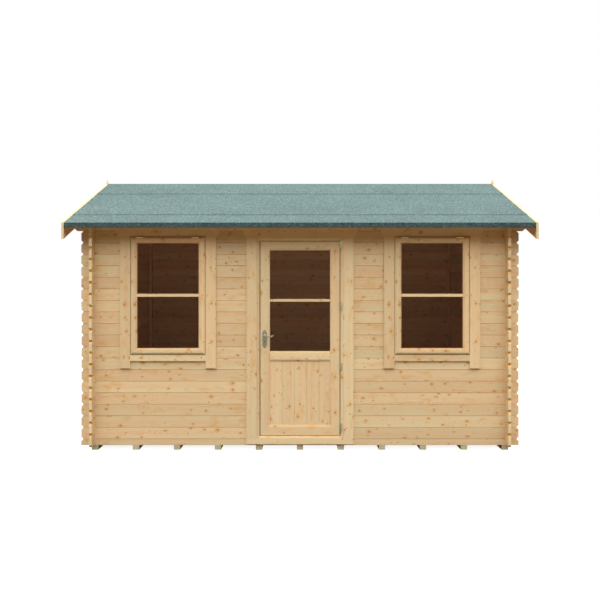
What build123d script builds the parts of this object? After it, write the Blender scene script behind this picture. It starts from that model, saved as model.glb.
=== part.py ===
from build123d import *
from math import atan, ceil, cos, hypot
import os

# A gabled log cabin of 28 mm interlocking logs, with one half-glazed door and two top-hung windows.
# The origin is on the ground under the middle of the cabin: +X to the right of the door wall,
# +Y to the back wall, +Z up. All sizes are in millimetres.

# ---- Cabin ----
cabin_length = 4004.0  # over the outer faces of the two gable walls
cabin_depth = 2804.0  # over the outer faces of the front and back walls
roof_rise = 0.35  # height that the roof gains for each millimetre towards the ridge
verge_overhang = 206.0  # roof past the gable walls, to the inner face of the barge boards
eaves_overhang = 203.0  # roof past the front and back walls, felt included

# ---- Clearances ----
fit = 0.3  # between two pieces that are fastened to each other
door_gap = 9.0  # beside the door leaf
level_gap = 5.0  # over and under the door leaf
stop_gap = 5.0  # from the shut leaf to its stop
sash_gap = 4.5  # around a window sash
pin_clearance = 0.05  # radial, around the pins that turn

# ---- Logs ----
log_thickness = 28.0
log_cover = 111.0  # height of one course
starter_height = 61.0
log_end = 101.0  # past the outer face of the wall that a log crosses
end_chamfer = 20.0  # on the corners of each log end
face_chamfer = 2.5  # on the long edges, which makes the V joints
tongue_width = 8.0
tongue_height = 8.0
groove_play = 0.6
bracket_drop = 47.0  # the sloped cut at the ends of the top logs rises by this much
bracket_run = 54.0
bracket_flat = 38.0  # level underside of a top log past the log ends below it
top_log_rise = 4.3  # roof boards above the last log level, at the walls' outer faces

# ---- Floor ----
bearer_height = 44.0
bearer_width = 61.0
bearer_count = 11
floor_board_thickness = 19.0

# ---- Roof ----
roof_board_thickness = 19.0
felt_thickness = 3.0
felt_seat = 0.2  # under the felt and between its laps
felt_lap = 90.0
felt_step = 15.0  # run over which an upper strip comes down off the strip below it
eaves_strip_run = 265.0  # level run of the lowest strip that shows
ridge_strip_run = 499.0  # level run of the ridge strip on each side
eaves_board_thickness = 19.0
eaves_face = 51.3  # height of the felted face at the eaves
purlin_thickness = 45.0
ridge_purlin_height = 145.0
side_purlin_height = 120.0
side_purlin_run = 700.0  # from the ridge to the middle of a side purlin
barge_thickness = 22.0
barge_width = 145.0
finial_thickness = 24.0
finial_width = 45.0
finial_rise = 51.0  # above the ridge of the felt
finial_drop = 215.0  # below the ridge of the felt
finial_point = 52.0

# ---- Trim on the outer wall faces ----
casing_thickness = 18.0
casing_width = 100.0
casing_gap = 2.0  # between the door casing and the frame
head_height = 118.0
head_ear = 11.0  # head board past the side boards, at its lower edge
head_flare = 0.4  # sideways growth of the head board for each millimetre up
lining_thickness = 24.0

# ---- Windows ----
window_offset = 1268.0  # from the middle of the wall to the middle of a window
sash_width = 714.0
sash_bottom = 918.0
sash_top = 2048.0
sash_thickness = 44.0
sash_proud = 12.0  # in front of the casing
sash_face = 61.0  # width of the sash's stiles and rails
sash_bevel = 19.0
sash_bevel_depth = 13.0
window_bar_height = 28.0
window_bar_level = 1486.5
sill_board_height = 58.5
casing_tail = 69.0  # side boards below the sill board
lining_depth = 50.0
stop_width = 14.0
stop_depth = 15.0
glass_thickness = 4.0
sash_hinge_length = 65.0
sash_hinge_offset = 264.0
sash_hinge_radius = 8.0

# ---- Door ----
leaf_width = 760.0
leaf_bottom = 140.0
leaf_top = 2003.0
leaf_thickness = 36.0
leaf_set_back = 12.0  # leaf behind the front of the casing
stile_width = 90.0
top_rail_height = 84.0
mid_rail_bottom = 849.0
mid_rail_top = 948.0
bottom_rail_height = 101.0
leaf_bevel = 20.0
leaf_bevel_depth = 9.0
door_bar_height = 26.0
door_bar_level = 1437.0
panel_board_cover = 118.0
panel_thickness = 14.0
panel_chamfer = 3.0  # on the boards' long edges
frame_head_height = 34.0
frame_bevel = 19.0
frame_bevel_depth = 10.0
frame_depth = 68.0
door_stop_width = 17.0
foot_board_bottom = 57.0  # board across the foot of the door casing
foot_board_top = 110.0

# ---- Door fittings ----
hinge_radius = 8.0
hinge_height = 70.0
hinge_levels = (220.0, 800.0, 1376.0, 1967.0)
hinge_offset = 14.0  # from the leaf's edge to the hinge pins
hinge_plate = 2.5
hinge_plate_depth = 30.0
hinge_pin_radius = 3.0
plate_height = 173.0
plate_width = 43.0
plate_thickness = 3.0
plate_taper = 28.0  # height over which each end narrows
plate_tip = 14.0  # width of each end
plate_rounding = 10.0
plate_offset = 40.0  # from the leaf's free edge to the middle of the plate
plate_level = 1066.5
lever_level = 1103.0
lever_dip = 13.0  # grip below the spindle
lever_dip_start = 42.0  # from the spindle
lever_dip_end = 68.0
lever_reach = 86.0
lever_tip_rise = 1.0  # above the spindle
lever_radius = 6.0
lever_bends = (12.0, 45.0, 20.0)  # radii of its centre line
lever_stand_off = 42.0
lever_neck_radius = 9.0
spindle_radius = 4.0
spindle_bore_radius = 11.0  # in the leaf, around the spindle
keyhole_level = 1040.0
keyhole_height = 16.0
keyhole_width = 6.0

# ---- Wind braces ----
brace_width = 45.0
brace_thickness = 27.0
brace_offset = 175.0  # from the inner face of the front or back wall to the brace

# ---- Levels and faces worked out from the sizes above ----
half_length = cabin_length / 2
half_depth = cabin_depth / 2
inner_length = half_length - log_thickness
inner_depth = half_depth - log_thickness
log_end_x = half_length + log_end
log_end_y = half_depth + log_end
first_joint = bearer_height + starter_height
window_x = (-window_offset, window_offset)
opening_half = sash_width / 2 + sash_gap + lining_thickness + fit
opening_bottom = sash_bottom - sash_gap - lining_thickness - fit
opening_top = sash_top + sash_gap + lining_thickness + fit
frame_half = leaf_width / 2 + door_gap
doorway_half = frame_half + lining_thickness + fit
frame_bottom = bearer_height + floor_board_thickness + fit
frame_top = leaf_top + level_gap + frame_head_height
doorway_top = frame_top + fit
full_courses = 1 + ceil((max(doorway_top, opening_top) - first_joint) / log_cover)
wall_top = first_joint + full_courses * log_cover
quarter = log_cover / 4
roof_slope = atan(roof_rise)
verge_x = half_length + verge_overhang
eaves_run = half_depth + eaves_overhang
board_rise = roof_board_thickness / cos(roof_slope)
felt_rise = felt_thickness / cos(roof_slope)
ridge_under = wall_top + top_log_rise + half_depth * roof_rise
casing_face = half_depth + casing_thickness
os.makedirs("parts", exist_ok=True)


def under_roof(run):
    """Level of the roof boards' underside, at a level run from the ridge."""
    return ridge_under - run * roof_rise


def save(piece, label):
    """Label a finished sub-part and write it as one STEP file."""
    piece.part.label = label
    export_step(piece.part, "parts/" + label + ".step")


# ---- Shared shapes ----
def outline(points):
    """Face bounded by straight edges through the points, in the current sketch."""
    with BuildLine() as edge:
        Polyline(*points, close=True)
    return make_face(edge.line)


def prism(plane, points, length, mode=Mode.ADD):
    """Outline on a plane, extruded to both sides by half the length."""
    with BuildSketch(plane) as section:
        outline(points)
    return extrude(section.sketch, amount=length / 2, both=True, mode=mode, clean=False)


def block(x_span, y_span, z_span, mode=Mode.ADD):
    """Rectangular block between three pairs of coordinates."""
    spans = [sorted(span) for span in (x_span, y_span, z_span)]
    with Locations(tuple((low + high) / 2 for low, high in spans)):
        return Box(*(high - low for low, high in spans), mode=mode)


def sketch_box(x_span, z_span):
    """Rectangle between two pairs of coordinates, in the current sketch."""
    (left, right), (low, high) = sorted(x_span), sorted(z_span)
    with Locations(((left + right) / 2, (low + high) / 2)):
        Rectangle(right - left, high - low)


# ---- Logs ----
front_joints = [first_joint + log_cover * k for k in range(full_courses)]
front_levels = [bearer_height] + front_joints
gable_joints = [first_joint + log_cover / 2]
while gable_joints[-1] + log_cover < ridge_under:
    gable_joints.append(gable_joints[-1] + log_cover)
gable_levels = [bearer_height] + gable_joints + [gable_joints[-1] + log_cover]
lap_course = max(k for k, joint in enumerate(front_levels) if joint < min(doorway_top, opening_top))
front_middle = -half_depth + log_thickness / 2
back_middle = half_depth - log_thickness / 2
gable_middle = half_length - log_thickness / 2


def log_outline(bottom, top, grooved=True, tongued=True):
    """Cross-section of one log, thickness across and height up, on the middle of the wall."""
    half = log_thickness / 2
    low = bottom + fit / 2
    high = top - fit / 2
    tongue = tongue_width / 2
    groove = (tongue_width + groove_play) / 2
    groove_roof = low + tongue_height + groove_play
    points = [(-half, low + face_chamfer), (-half + face_chamfer, low)]
    if grooved:
        points += [(-groove, low), (-groove, groove_roof), (groove, groove_roof), (groove, low)]
    points += [(half - face_chamfer, low), (half, low + face_chamfer)]
    points += [(half, high - face_chamfer), (half - face_chamfer, high)]
    if tongued:
        tip = high + tongue_height
        points += [(tongue, high), (tongue, tip), (-tongue, tip), (-tongue, high)]
    return points + [(-half + face_chamfer, high), (-half, high - face_chamfer)]


def logs(plane, half_run, levels, first_grooved=True, tongued=True):
    """Logs between the levels of their joints, extruded to both sides of a plane across them."""
    with BuildSketch(plane) as sections:
        for number, (bottom, top) in enumerate(zip(levels[:-1], levels[1:])):
            outline(log_outline(bottom, top, first_grooved or number > 0, tongued))
    extrude(sections.sketch, amount=half_run, both=True, clean=False)


def across_x(wall_y, x=0.0):
    """Plane across the logs of a front or back wall."""
    return Plane(origin=(x, wall_y, 0), x_dir=(0, 1, 0), z_dir=(1, 0, 0))


def cut_front(wall_y, joints, openings=True):
    """Half-lap notches, chamfered log ends and openings of a front or back wall, in one cut."""
    with BuildSketch(Plane(origin=(0, wall_y, 0), x_dir=(1, 0, 0), z_dir=(0, -1, 0))) as cuts:
        with Locations(*((x, z) for x in (-gable_middle, gable_middle) for z in joints)):
            Rectangle(log_thickness + fit, 2 * quarter + fit)
        with Locations(*((x, z) for x in (-log_end_x, log_end_x) for z in joints)):
            Rectangle(end_chamfer * 2**0.5, end_chamfer * 2**0.5, rotation=45)
        if openings:
            for x in window_x:
                sketch_box((x - opening_half, x + opening_half), (opening_bottom, opening_top))
            sketch_box((-doorway_half, doorway_half), (frame_bottom - fit, doorway_top))
    extrude(cuts.sketch, amount=log_thickness, both=True, mode=Mode.SUBTRACT, clean=False)


def cut_under_roof():
    """Trim logs to the underside of the roof boards."""
    reach = eaves_run + log_end
    low = under_roof(reach) - fit
    high = ridge_under + log_cover
    points = [(-reach, low), (0, ridge_under - fit), (reach, low), (reach, high), (-reach, high)]
    prism(Plane.YZ, points, 4 * verge_x, Mode.SUBTRACT)


def top_log(wall_y):
    """Top log, with its ends reaching out under the roof's overhang as cut brackets."""
    low = front_levels[-1]
    logs(across_x(wall_y), verge_x - fit, (low, wall_top + log_cover), tongued=False)
    with BuildSketch(Plane(origin=(0, wall_y, 0), x_dir=(1, 0, 0), z_dir=(0, -1, 0))) as cuts:
        for side in (-1, 1):
            start = log_end_x + bracket_flat
            far = verge_x + log_end
            rise = (far - start) * bracket_drop / bracket_run
            points = [(start, low), (far, low + rise), (far, low - rise), (start, low - rise)]
            outline([(side * x, z) for x, z in points])
        with Locations(*((x, z) for x in (-gable_middle, gable_middle) for z in (low, wall_top))):
            Rectangle(log_thickness + fit, 2 * quarter + fit)
    extrude(cuts.sketch, amount=log_thickness, both=True, mode=Mode.SUBTRACT, clean=False)
    cut_under_roof()


with BuildPart() as front_wall_left:
    half_run = (log_end_x - doorway_half) / 2
    across = across_x(front_middle, -doorway_half - half_run)
    logs(across, half_run, front_levels[1 : lap_course + 1])
    cut_front(front_middle, front_joints)
save(front_wall_left, "front_wall_left")

with BuildPart() as front_wall_right:
    mirror(front_wall_left.part, about=Plane.YZ)
save(front_wall_right, "front_wall_right")

with BuildPart() as front_base_log:
    logs(across_x(front_middle), log_end_x, front_levels[:2], first_grooved=False)
    cut_front(front_middle, front_joints[:1])
save(front_base_log, "front_base_log")

with BuildPart() as lapped_logs:
    logs(across_x(front_middle), log_end_x, front_levels[lap_course:])
    cut_front(front_middle, front_joints)
with BuildPart() as front_top_log:
    top_log(front_middle)
with BuildPart() as front_wall_over_door:
    add([lapped_logs.part, front_top_log.part])
save(front_wall_over_door, "front_wall_over_door")

with BuildPart() as back_lower_logs:
    logs(across_x(back_middle), log_end_x, front_levels, first_grooved=False)
    cut_front(back_middle, front_joints, openings=False)
with BuildPart() as back_top_log:
    top_log(back_middle)
with BuildPart() as back_wall:
    add([back_lower_logs.part, back_top_log.part])
save(back_wall, "back_wall")


# ---- Purlins and gable walls ----
def purlin_outline(run, height, clearance=0.0):
    """Cross-section of a purlin, with its top bevelled to the roof boards."""
    low = run - purlin_thickness / 2 - clearance
    high = run + purlin_thickness / 2 + clearance
    bottom = under_roof(abs(run)) - height - clearance
    seat = clearance - fit
    top = [(high, under_roof(abs(high)) + seat), (low, under_roof(abs(low)) + seat)]
    if low < 0 < high:
        top.insert(1, (0, ridge_under + seat))
    return [(low, bottom), (high, bottom)] + top


purlins = {
    "ridge_purlin": (0.0, ridge_purlin_height),
    "front_purlin": (-side_purlin_run, side_purlin_height),
    "back_purlin": (side_purlin_run, side_purlin_height),
}
for name, (run, height) in purlins.items():
    with BuildPart() as purlin:
        prism(Plane.YZ, purlin_outline(run, height), 2 * (verge_x - fit))
    save(purlin, name)

with BuildPart() as left_gable_wall:
    across_y = Plane(origin=(-gable_middle, 0, 0), x_dir=(1, 0, 0), z_dir=(0, -1, 0))
    logs(across_y, log_end_y, gable_levels, first_grooved=False)
    with BuildSketch(Plane.YZ.offset(-gable_middle)) as cuts:
        with Locations(*((y, z) for y in (front_middle, back_middle) for z in gable_joints)):
            Rectangle(log_thickness + fit, 2 * quarter + fit)
        with Locations(*((y, z) for y in (-log_end_y, log_end_y) for z in (gable_levels[0], *gable_joints))):
            Rectangle(end_chamfer * 2**0.5, end_chamfer * 2**0.5, rotation=45)
        half = (log_thickness + fit) / 2
        for y in (front_middle, back_middle):
            sketch_box((y - half, y + half), (0, first_joint - quarter + fit / 2))
        for run, height in purlins.values():
            outline(purlin_outline(run, height, fit))
    extrude(cuts.sketch, amount=log_thickness, both=True, mode=Mode.SUBTRACT, clean=False)
    cut_under_roof()
save(left_gable_wall, "left_gable_wall")

with BuildPart() as right_gable_wall:
    mirror(left_gable_wall.part, about=Plane.YZ)
save(right_gable_wall, "right_gable_wall")


# ---- Floor ----
with BuildPart() as floor_bearers:
    pitch = (cabin_length - bearer_width) / (bearer_count - 1)
    with Locations((0, 0, bearer_height / 2)):
        with GridLocations(pitch, cabin_depth, bearer_count, 1):
            Box(bearer_width, cabin_depth, bearer_height)
save(floor_bearers, "floor_bearers")

with BuildPart() as floor_boards:
    with BuildSketch(Plane.XY.offset(bearer_height)):
        Rectangle(2 * (inner_length - fit), 2 * (inner_depth - fit))
    extrude(amount=floor_board_thickness)
save(floor_boards, "floor_boards")


# ---- Wind braces, one near each corner on the inner faces of the gable walls ----
with BuildPart() as wind_braces:
    brace_x = inner_length - fit - brace_thickness / 2
    brace_y = inner_depth - brace_offset - brace_width / 2
    brace_foot = bearer_height + floor_board_thickness + fit
    brace_head = under_roof(brace_y + brace_width / 2) - fit
    with BuildSketch(Plane.XY.offset(brace_foot)):
        with GridLocations(2 * brace_x, 2 * brace_y, 2, 2):
            Rectangle(brace_thickness, brace_width)
    extrude(amount=brace_head - brace_foot)
save(wind_braces, "wind_braces")


# ---- Roof ----
def roof_line(run, rise, side):
    """Point at a level run from the ridge and a plumb height above the boards' underside."""
    return (side * run, under_roof(run) + rise)


def along_cabin(points, name):
    """Sub-part with one cross-section over the full length of the roof."""
    with BuildPart() as piece:
        prism(Plane.YZ, points, 2 * (verge_x - fit))
    save(piece, name)


board_end = eaves_run - felt_thickness - eaves_board_thickness
felt_base = board_rise + felt_seat
felt_top = felt_base + felt_rise
lap_base = felt_top + felt_seat
lap_top = lap_base + felt_rise
eaves_lap = eaves_run - eaves_strip_run

for side, sign in (("front", -1), ("back", 1)):
    corners = ((fit, 0), (board_end - fit, 0), (board_end - fit, board_rise), (fit, board_rise))
    along_cabin([roof_line(run, rise, sign) for run, rise in corners], "roof_boards_" + side)

    outer = eaves_run - felt_thickness - felt_seat
    face_top = under_roof(eaves_run) + felt_top
    foot = face_top - eaves_face
    board = [roof_line(board_end, board_rise, sign), roof_line(outer, board_rise, sign)]
    along_cabin(board + [(sign * outer, foot), (sign * board_end, foot)], "eaves_board_" + side)

    low_felt = [(eaves_lap - felt_lap, felt_base), (eaves_run - felt_thickness, felt_base)]
    high_felt = [(eaves_run, felt_top), (eaves_lap - felt_lap, felt_top)]
    lip = [(sign * (eaves_run - felt_thickness), foot), (sign * eaves_run, foot)]
    under = [roof_line(run, rise, sign) for run, rise in low_felt]
    over = [roof_line(run, rise, sign) for run, rise in high_felt]
    along_cabin(under + lip + over, "felt_eaves_" + side)

    step = eaves_lap - felt_lap - felt_step
    top_end = ridge_strip_run - felt_lap
    rest = step + felt_step
    low_felt = [(top_end, felt_base), (step, felt_base), (rest, lap_base), (eaves_lap, lap_base)]
    high_felt = [(eaves_lap, lap_top), (rest, lap_top), (step, felt_top), (top_end, felt_top)]
    along_cabin([roof_line(run, rise, sign) for run, rise in low_felt + high_felt], "felt_middle_" + side)

step = ridge_strip_run - felt_lap - felt_step
half_under = [(ridge_strip_run, lap_base), (step + felt_step, lap_base), (step, felt_base)]
half_over = [(step, felt_top), (step + felt_step, lap_top), (ridge_strip_run, lap_top)]
under = [roof_line(run, rise, -1) for run, rise in half_under] + [(0, ridge_under + felt_base)]
under += [roof_line(run, rise, 1) for run, rise in reversed(half_under)]
over = [roof_line(run, rise, 1) for run, rise in reversed(half_over)] + [(0, ridge_under + felt_top)]
over += [roof_line(run, rise, -1) for run, rise in half_over]
along_cabin(under + over, "felt_ridge")


# ---- Barge boards and finials ----
barge_plumb = barge_width / cos(roof_slope)
barge_start = finial_width / 2 + fit
for side, sign in (("left", -1), ("right", 1)):
    with BuildPart() as barge_boards:
        for slope in (-1, 1):
            corners = ((barge_start, felt_top), (eaves_run, felt_top))
            corners += ((eaves_run, felt_top - barge_plumb), (barge_start, felt_top - barge_plumb))
            middle = sign * (verge_x + barge_thickness / 2)
            points = [roof_line(run, rise, slope) for run, rise in corners]
            prism(Plane.YZ.offset(middle), points, barge_thickness)
    save(barge_boards, "barge_boards_" + side)

    with BuildPart() as finial:
        ridge_top = ridge_under + felt_top
        middle = sign * (verge_x + finial_thickness / 2)
        tip = ridge_top + finial_rise
        foot = ridge_top - finial_drop
        half = finial_width / 2
        points = [(0, tip), (-half, tip - finial_point), (-half, foot + half), (0, foot)]
        points += [(half, foot + half), (half, tip - finial_point)]
        prism(Plane.YZ.offset(middle), points, finial_thickness)
        foot_of_taper = tip - finial_point
        taper = [(0, tip), (finial_thickness / 2, foot_of_taper)]
        taper += [(finial_thickness, foot_of_taper), (finial_thickness, tip)]
        for turn in (-1, 1):
            cut = [(middle + turn * x, z) for x, z in taper]
            prism(Plane.XZ, cut, 2 * finial_width, Mode.SUBTRACT)
    save(finial, "finial_" + side)


# ---- Mitred frames, for sashes, linings and the door leaf ----
def mitred_frame(front, back, outer, inner, inner_bevel=(0, 0), outer_bevel=(0, 0)):
    """Four pieces with mitred corners, between an outer and an inner rectangle.

    front and back are values of Y, a rectangle is (left, bottom, right, top), and a bevel is
    its width on the face and its depth from the face.
    """
    outer_corners, inner_corners = (
        [Vector(x, 0, z) for x, z in ((left, low), (right, low), (right, high), (left, high))]
        for left, low, right, high in (outer, inner)
    )
    for number in range(4):
        after = (number + 1) % 4
        start, end = outer_corners[number], outer_corners[after]
        along = (end - start).normalized()
        inward = Vector(0, 1, 0).cross(along) * -1
        width = (inner_corners[number] - start).dot(inward)
        section = [(0, front + outer_bevel[1]), (outer_bevel[0], front)]
        section += [(width - inner_bevel[0], front), (width, front + inner_bevel[1])]
        section = [point for k, point in enumerate(section) if point not in section[:k]]
        section += [(width, back), (0, back)]
        with BuildSketch(Plane(origin=start, x_dir=inward, z_dir=along)) as profile:
            outline([(u, -y) for u, y in section])
        bar = extrude(profile.sketch, amount=(end - start).length, mode=Mode.PRIVATE)
        nudge = along * (fit / 2)
        mitre = [start + nudge, end - nudge, inner_corners[after] - nudge, inner_corners[number] + nudge]
        with BuildSketch(Plane.XZ) as elevation:
            outline([(corner.X, corner.Z) for corner in mitre])
        limit = extrude(elevation.sketch, amount=cabin_depth, both=True, mode=Mode.PRIVATE)
        add(bar & limit)


def grown(rectangle, margin):
    """Rectangle made larger by a margin on each side."""
    left, low, right, high = rectangle
    return (left - margin, low - margin, right + margin, high + margin)


def head_board(left, right, bottom):
    """Head board of a casing, with ends that flare out towards the top."""
    flare = head_flare * head_height
    top = bottom + head_height
    points = [(left, bottom), (right, bottom), (right + flare, top), (left - flare, top)]
    prism(Plane.XZ.offset(casing_face - casing_thickness / 2), points, casing_thickness - fit)


casing_y = (-casing_face, -half_depth - fit)

# ---- Windows ----
sash_front = -casing_face - sash_proud
sash_back = sash_front + sash_thickness
stop_front = sash_back + fit
for side, x in (("left", -window_offset), ("right", window_offset)):
    sash = (x - sash_width / 2, sash_bottom, x + sash_width / 2, sash_top)
    daylight = grown(sash, sash_gap)
    pane = grown(sash, -sash_face)
    left, low, right, high = daylight

    with BuildPart() as window_frame:
        lining = grown(daylight, lining_thickness)
        mitred_frame(-half_depth, -half_depth + lining_depth, lining, daylight)
        stop_outer = grown(daylight, -fit)
        mitred_frame(stop_front, stop_front + stop_depth, stop_outer, grown(stop_outer, -stop_width))
    save(window_frame, "window_frame_" + side)

    with BuildPart() as window_casing:
        foot = low - sill_board_height - casing_tail
        block((left - casing_width, left), casing_y, (foot, high - fit))
        block((right, right + casing_width), casing_y, (foot, high - fit))
        block((left + fit, right - fit), casing_y, (low - sill_board_height, low))
        head_board(left - casing_width - head_ear, right + casing_width + head_ear, high)
    save(window_casing, "window_casing_" + side)

    with BuildPart() as window_sash:
        bevel = (sash_bevel, sash_bevel_depth)
        mitred_frame(sash_front, sash_back, sash, pane, bevel, bevel)
        middle = (sash_front + sash_back) / 2
        clear = (glass_thickness / 2 + fit, sash_thickness / 2 - sash_bevel_depth)
        height = (window_bar_level - window_bar_height / 2, window_bar_level + window_bar_height / 2)
        for face in (-1, 1):
            block((pane[0] + fit, pane[2] - fit), [middle + face * y for y in clear], height)
    save(window_sash, "window_sash_" + side)

    with BuildPart() as window_glass:
        depth = (middle - glass_thickness / 2, middle + glass_thickness / 2)
        block((pane[0] + fit, pane[2] - fit), depth, (pane[1] + fit, pane[3] - fit))
    save(window_glass, "window_glass_" + side)

    with BuildPart() as sash_hinges:
        bevel_slope = sash_bevel_depth / sash_bevel
        seat_y = sash_front + sash_bevel_depth - sash_hinge_radius * bevel_slope
        hinge_y = seat_y - (sash_hinge_radius + fit) * hypot(1, bevel_slope)
        across = Plane(origin=(x, hinge_y, sash_top - sash_hinge_radius), z_dir=(1, 0, 0))
        with Locations(across):
            with Locations((0, 0, -sash_hinge_offset), (0, 0, sash_hinge_offset)):
                Cylinder(sash_hinge_radius, sash_hinge_length)
    save(sash_hinges, "window_hinges_" + side)


# ---- Door frame and casing ----
frame_y = (-casing_face, -casing_face + frame_depth)
leaf_front = -casing_face + leaf_set_back
leaf_back = leaf_front + leaf_thickness
frame_inner = (-frame_half, leaf_bottom - level_gap, frame_half, leaf_top + level_gap)
frame_outer = (-frame_half - lining_thickness, frame_bottom, frame_half + lining_thickness, frame_top)
with BuildPart() as door_frame:
    mitred_frame(*frame_y, frame_outer, frame_inner, (frame_bevel, frame_bevel_depth))
    stop_outer = grown(frame_inner, -fit)
    stop_y = (leaf_back + stop_gap, frame_y[1])
    mitred_frame(*stop_y, stop_outer, grown(stop_outer, -door_stop_width))
    seat = (-casing_face - fit, -half_depth)
    block((frame_outer[0] - fit, frame_outer[2] + fit), seat, (0, foot_board_top + fit), Mode.SUBTRACT)
save(door_frame, "door_frame")

with BuildPart() as door_casing:
    for sign in (-1, 1):
        span = (sign * (frame_outer[2] + casing_gap), sign * (frame_outer[2] + casing_width))
        block(span, casing_y, (foot_board_top + fit, frame_top - fit))
    foot = frame_outer[2] + casing_width
    block((-foot, foot), casing_y, (foot_board_bottom, foot_board_top))
    ear = frame_outer[2] + casing_width + head_ear
    head_board(-ear, ear, frame_top + fit)
save(door_casing, "door_casing")

# ---- Door leaf ----
leaf = (-leaf_width / 2, leaf_bottom, leaf_width / 2, leaf_top)
field_bottom = leaf_bottom + bottom_rail_height
field = (leaf[0] + stile_width, field_bottom, leaf[2] - stile_width, leaf_top - top_rail_height)
leaf_middle = (leaf_front + leaf_back) / 2
plate_x = leaf[0] + plate_offset
with BuildPart() as door_leaf:
    mitred_frame(leaf_front, leaf_back, leaf, field, (leaf_bevel, leaf_bevel_depth))
    bevel_y = leaf_front + leaf_bevel_depth
    points = [(leaf_back, mid_rail_top), (leaf_back, mid_rail_bottom), (bevel_y, mid_rail_bottom)]
    points += [(leaf_front, mid_rail_bottom + leaf_bevel), (leaf_front, mid_rail_top - leaf_bevel)]
    points += [(bevel_y, mid_rail_top)]
    prism(Plane.YZ, points, field[2] - field[0] - 2 * fit)
    clear = (glass_thickness / 2 + fit, leaf_thickness / 2 - leaf_bevel_depth)
    height = (door_bar_level - door_bar_height / 2, door_bar_level + door_bar_height / 2)
    for face in (-1, 1):
        block((field[0] + fit, field[2] - fit), [leaf_middle + face * y for y in clear], height)
    with Locations(Plane(origin=(plate_x, leaf_middle, lever_level), z_dir=(0, 1, 0))):
        Cylinder(spindle_bore_radius, 2 * leaf_thickness, mode=Mode.SUBTRACT)
save(door_leaf, "door_leaf")

with BuildPart() as door_panel:
    front = leaf_middle - panel_thickness / 2
    back = leaf_middle + panel_thickness / 2
    with BuildSketch(Plane.XY.offset(field[1] + fit)) as boards:
        for number in range(ceil((field[2] - field[0]) / panel_board_cover)):
            start = field[0] + number * panel_board_cover + fit
            end = min(start + panel_board_cover - fit, field[2] - fit)
            points = [(start, back), (start, front + panel_chamfer), (start + panel_chamfer, front)]
            outline(points + [(end - panel_chamfer, front), (end, front + panel_chamfer), (end, back)])
    extrude(boards.sketch, amount=mid_rail_bottom - field[1] - 2 * fit, clean=False)
save(door_panel, "door_panel")

with BuildPart() as door_glass:
    depth = (leaf_middle - glass_thickness / 2, leaf_middle + glass_thickness / 2)
    block((field[0] + fit, field[2] - fit), depth, (mid_rail_top + fit, field[3] - fit))
save(door_glass, "door_glass")

# ---- Door hinges: a barrel on the leaf that turns on a pin in a barrel on the frame ----
pin_x = leaf_width / 2 + hinge_offset
frame_bevel_slope = frame_bevel_depth / frame_bevel
bevel_y = -casing_face + frame_bevel_depth - (pin_x - frame_half) * frame_bevel_slope
pin_y = bevel_y - (hinge_radius + fit) * hypot(1, frame_bevel_slope)
half_barrel = hinge_height / 2
with BuildPart() as leaf_hinges:
    for level in hinge_levels:
        with Locations((pin_x, pin_y, level + fit)):
            Cylinder(hinge_radius, half_barrel - fit, align=(Align.CENTER, Align.CENTER, Align.MIN))
        edge = leaf[2] + fit
        block((edge, pin_x), (pin_y - hinge_plate, pin_y), (level + fit, level + half_barrel))
        plate_y = (pin_y - hinge_plate, leaf_front + hinge_plate_depth)
        block((edge, edge + hinge_plate), plate_y, (level + fit, level + half_barrel))
        low_y = (leaf_front, leaf_front + hinge_plate_depth)
        block((edge, edge + hinge_plate), low_y, (level - half_barrel, level + half_barrel))
        with Locations((pin_x, pin_y, level)):
            radius = hinge_pin_radius + pin_clearance
            upwards = (Align.CENTER, Align.CENTER, Align.MIN)
            Cylinder(radius, half_barrel - hinge_pin_radius, align=upwards, mode=Mode.SUBTRACT)
save(leaf_hinges, "door_hinge_leaves")

with BuildPart() as frame_hinges:
    for level in hinge_levels:
        with Locations((pin_x, pin_y, level)):
            Cylinder(hinge_radius, half_barrel, align=(Align.CENTER, Align.CENTER, Align.MAX))
            pin_height = half_barrel - hinge_pin_radius - fit
            Cylinder(hinge_pin_radius, pin_height, align=(Align.CENTER, Align.CENTER, Align.MIN))
        edge = frame_half - fit
        plate_y = (pin_y + hinge_radius + fit, leaf_front + hinge_plate_depth)
        block((edge - hinge_plate, edge), plate_y, (level - half_barrel, level + half_barrel))
        block((edge - hinge_plate, edge), (pin_y, plate_y[1]), (level - half_barrel, level))
save(frame_hinges, "door_hinge_frame_halves")

# ---- Door handles ----
bore_radius = lever_neck_radius + pin_clearance
faces = {"outside": (leaf_front, -1), "inside": (leaf_back, 1)}
tip = (plate_tip / 2, plate_height / 2)
shoulder = (plate_width / 2, plate_height / 2 - plate_taper)
plate_corners = [shoulder, tip]
plate_corners += [(-x, z) for x, z in reversed(plate_corners)]
plate_corners += [(x, -z) for x, z in reversed(plate_corners)]
with BuildPart() as handle_plates:
    for face_y, outward in faces.values():
        seat = (plate_x, face_y + outward * fit, plate_level)
        with BuildSketch(Plane(origin=seat, x_dir=(1, 0, 0), z_dir=(0, -1, 0))) as plate:
            outline(plate_corners)
            fillet(plate.vertices(), plate_rounding)
            with Locations((0, lever_level - plate_level)):
                Circle(bore_radius, mode=Mode.SUBTRACT)
            with Locations((0, keyhole_level - plate_level)):
                SlotOverall(keyhole_height, keyhole_width, rotation=90, mode=Mode.SUBTRACT)
        extrude(plate.sketch, amount=-outward * plate_thickness)
save(handle_plates, "door_handle_plates")

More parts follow.
